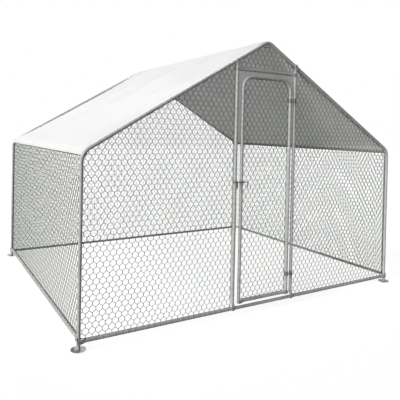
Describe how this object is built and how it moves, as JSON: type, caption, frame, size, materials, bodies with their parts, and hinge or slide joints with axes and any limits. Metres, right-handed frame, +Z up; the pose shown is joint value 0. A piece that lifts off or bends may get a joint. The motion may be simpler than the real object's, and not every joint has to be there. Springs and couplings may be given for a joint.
{
  "type": "walk-in chicken run",
  "caption": "Walk-in poultry run: gabled steel tube frame with hexagonal wire-net walls, a stretched roof cover and a hinged door with a slide bolt.",
  "frame": {"origin": "on the ground, under the middle of the run", "axes": "+X across the gabled front, to the right seen from the door side; -Y is the door side; +Z up"},
  "size_m": [3.073, 2.573, 2.1387],
  "materials": {
    "frame_tube": "galvanised, satin",
    "wire_net": "galvanised wire, dull",
    "cover_cloth": "coated tarpaulin, white",
    "foot_plate": "galvanised, dull",
    "hinge_and_latch": "zinc plated",
    "fastener": "zinc plated"
  },
  "bodies": {
    "frame": {"front_left_post": "frame_tube", "front_right_post": "frame_tube", "back_left_post": "frame_tube", "back_right_post": "frame_tube", "front_left_rafter": "frame_tube", "front_right_rafter": "frame_tube", "back_left_rafter": "frame_tube", "back_right_rafter": "frame_tube", "front_apex_tube": "frame_tube", "back_apex_tube": "frame_tube", "front_rail_left": "frame_tube", "front_rail_right": "frame_tube", "back_rail_left": "frame_tube", "back_rail_right": "frame_tube", "left_rail_front": "frame_tube", "left_rail_back": "frame_tube", "right_rail_front": "frame_tube", "right_rail_back": "frame_tube", "ridge_purlin_front": "frame_tube", "ridge_purlin_back": "frame_tube", "left_purlin_front": "frame_tube", "left_purlin_back": "frame_tube", "right_purlin_front": "frame_tube", "right_purlin_back": "frame_tube", "left_door_post_lower": "frame_tube", "left_door_post_upper": "frame_tube", "right_door_post_lower": "frame_tube", "right_door_post_upper": "frame_tube", "door_header": "frame_tube", "front_left_foot": "foot_plate", "front_right_foot": "foot_plate", "back_left_foot": "foot_plate", "back_right_foot": "foot_plate", "upper_hinge_bracket": "hinge_and_latch", "lower_hinge_bracket": "hinge_and_latch", "upper_hinge_pin": "hinge_and_latch", "lower_hinge_pin": "hinge_and_latch", "latch_keeper": "hinge_and_latch", "front_left_net": "wire_net", "front_right_net": "wire_net", "gable_net": "wire_net", "back_net": "wire_net", "left_net": "wire_net", "right_net": "wire_net", "roof_cover": "cover_cloth", "frame_bolts": "fastener", "frame_nuts": "fastener", "purlin_screws": "fastener"},
    "door_leaf": {"leaf_tube": "frame_tube", "leaf_bottom_rail": "frame_tube", "door_net": "wire_net", "upper_hinge_strap": "hinge_and_latch", "lower_hinge_strap": "hinge_and_latch", "latch_guide": "hinge_and_latch", "leaf_bolts": "fastener"},
    "latch_bolt": {"latch_bolt": "hinge_and_latch"}
  },
  "joints": [
    {"name": "door_hinge", "type": "hinge", "parent": "frame", "child": "door_leaf", "pos_m": [0.269, -1.2595, 0.968], "axis": [0, 0, 1], "range_deg": [0, 170]},
    {"name": "latch_slide", "type": "slide", "parent": "door_leaf", "child": "latch_bolt", "axis": [-1, 0, 0], "range_m": [0, 0.022]}
  ]
}
